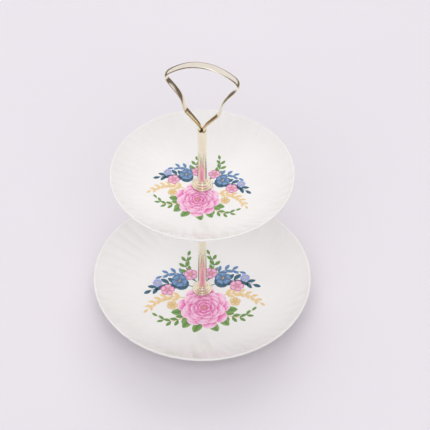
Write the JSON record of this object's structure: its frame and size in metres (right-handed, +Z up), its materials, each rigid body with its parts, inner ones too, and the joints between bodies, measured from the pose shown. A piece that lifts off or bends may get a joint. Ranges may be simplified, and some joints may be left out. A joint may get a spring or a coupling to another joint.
{
  "type": "tiered cake stand",
  "caption": "Tiered serving stand: dished china plates clamped on a slim metal column, with a bent band loop handle on top for carrying.",
  "frame": {"origin": "on the surface the stand rests on, where the column's axis meets it", "axes": "+Z up along the column; -Y towards the side the handle is seen from; +X to the right"},
  "size_m": [0.254, 0.254, 0.3606],
  "materials": {
    "lower_china": "glossy glaze",
    "upper_china": "glossy glaze",
    "champagne_plate": "polished pale gold plating",
    "handle_plate": "polished pale plating",
    "brass_insert": "machined",
    "zinc_hardware": "bright zinc plated",
    "clear_washer": "soft translucent",
    "rubber_washer": "matte"
  },
  "bodies": {
    "lower_plate": {"lower_plate": "lower_china", "lower_top_washer": "clear_washer", "lower_under_washer": "rubber_washer"},
    "lower_column": {"lower_flange_washer": "champagne_plate", "lower_collar": "champagne_plate", "lower_tube": "champagne_plate", "lower_tube_bottom_insert": "brass_insert", "lower_tube_top_insert": "brass_insert", "middle_collar": "champagne_plate", "middle_flange_washer": "champagne_plate"},
    "base_screw": {"base_screw": "zinc_hardware", "base_washer": "zinc_hardware"},
    "upper_plate": {"upper_plate": "upper_china", "upper_top_washer": "clear_washer", "upper_under_washer": "rubber_washer"},
    "handle_column": {"tie_stud": "zinc_hardware", "upper_flange_washer": "champagne_plate", "upper_collar": "champagne_plate", "upper_tube": "champagne_plate", "upper_tube_insert": "brass_insert", "handle_band": "handle_plate", "handle_wedge": "zinc_hardware"}
  },
  "joints": [
    {"name": "lower_column_turn", "type": "hinge", "parent": "lower_plate", "child": "lower_column", "pos_m": [0, 0, 0.0109], "axis": [0, 0, 1], "continuous": true},
    {"name": "base_screw_turn", "type": "hinge", "parent": "lower_column", "child": "base_screw", "pos_m": [0, 0, 0.0039], "axis": [0, 0, 1], "continuous": true},
    {"name": "upper_plate_turn", "type": "hinge", "parent": "lower_column", "child": "upper_plate", "pos_m": [0, 0, 0.181], "axis": [0, 0, 1], "continuous": true},
    {"name": "handle_column_turn", "type": "hinge", "parent": "lower_column", "child": "handle_column", "pos_m": [0, 0, 0.1859], "axis": [0, 0, 1], "continuous": true}
  ]
}
